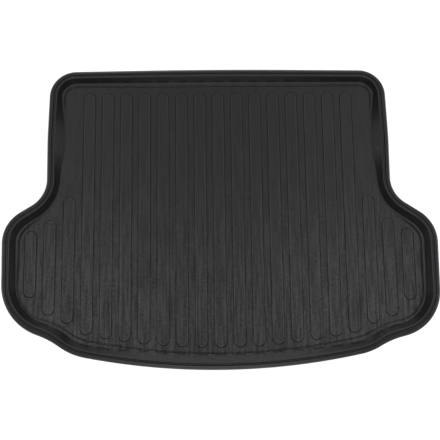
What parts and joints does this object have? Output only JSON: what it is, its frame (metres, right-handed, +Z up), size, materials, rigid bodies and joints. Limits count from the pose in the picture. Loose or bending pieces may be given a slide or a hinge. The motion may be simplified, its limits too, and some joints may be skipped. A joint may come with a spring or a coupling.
{
  "type": "car boot liner",
  "caption": "Shallow moulded boot tray with a rolled rim, wheel-arch cut-ins and long raised grip pads along its floor.",
  "frame": {"origin": "under the middle of the tray's plan box, on the plane that the floor's underside rests on", "axes": "+X across the boot, +Y towards the rear seats (the straight side), +Z up out of the tray"},
  "size_m": [1.2996, 0.9232, 0.032],
  "materials": {
    "liner_plastic": "black rubberised plastic with a fine moulded grain, satin"
  },
  "bodies": {
    "root": {"boot_liner": "liner_plastic"}
  },
  "joints": []
}
